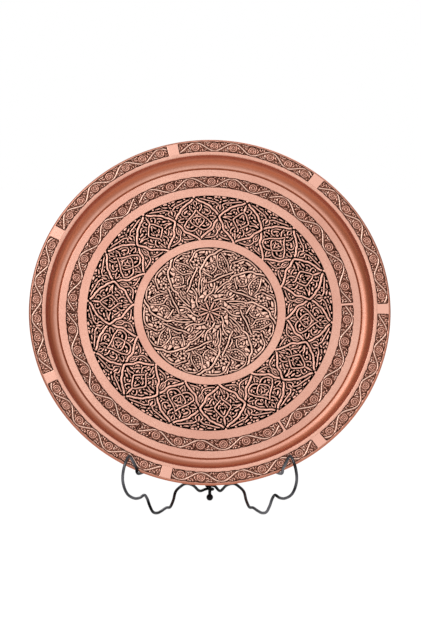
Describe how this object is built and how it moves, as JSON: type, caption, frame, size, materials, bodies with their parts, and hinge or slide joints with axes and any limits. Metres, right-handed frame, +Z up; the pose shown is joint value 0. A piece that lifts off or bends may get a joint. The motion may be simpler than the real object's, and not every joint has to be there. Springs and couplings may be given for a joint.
{
  "type": "presentation tray on a folding easel",
  "caption": "Round copper tray with flat rim and shallow well, engraved all over, leaning on a folding easel of two bent wire wings hinged on an upright spindle.",
  "frame": {"origin": "on the ground, under the middle of the whole object's box", "axes": "+Z up; the tray faces -Y and leans back towards +Y; +X is the viewer's right when looking at its face"},
  "size_m": [0.36, 0.1622, 0.3667],
  "materials": {
    "copper": "satin pink copper, engraved and darkened in the recesses",
    "edge_wire": "plain drawn wire, hidden in the rolled edge",
    "black_wire": "gloss black"
  },
  "bodies": {
    "stand": {"spindle": "black_wire", "foot_ball": "black_wire", "finial_ball": "black_wire"},
    "tray": {"tray_body": "copper", "rim_edge_wire": "edge_wire"},
    "left_wing": {"left_wing": "black_wire"},
    "right_wing": {"right_wing": "black_wire"}
  },
  "joints": [
    {"name": "tray_lift", "type": "slide", "parent": "stand", "child": "tray", "axis": [0, 0, 1], "range_m": [0, 0.25]},
    {"name": "left_wing_fold", "type": "hinge", "parent": "stand", "child": "left_wing", "pos_m": [0, 0.05954, 0.1], "axis": [0, 0, 1], "range_deg": [0, 28]},
    {"name": "right_wing_fold", "type": "hinge", "parent": "stand", "child": "right_wing", "pos_m": [0, 0.05954, 0.1], "axis": [0, 0, 1], "range_deg": [-28, 0]}
  ],
  "couplings": [
    {"joint": "left_wing_fold", "follows": "tray_lift", "rad_per_m": 1.954},
    {"joint": "right_wing_fold", "follows": "tray_lift", "rad_per_m": -1.954}
  ]
}
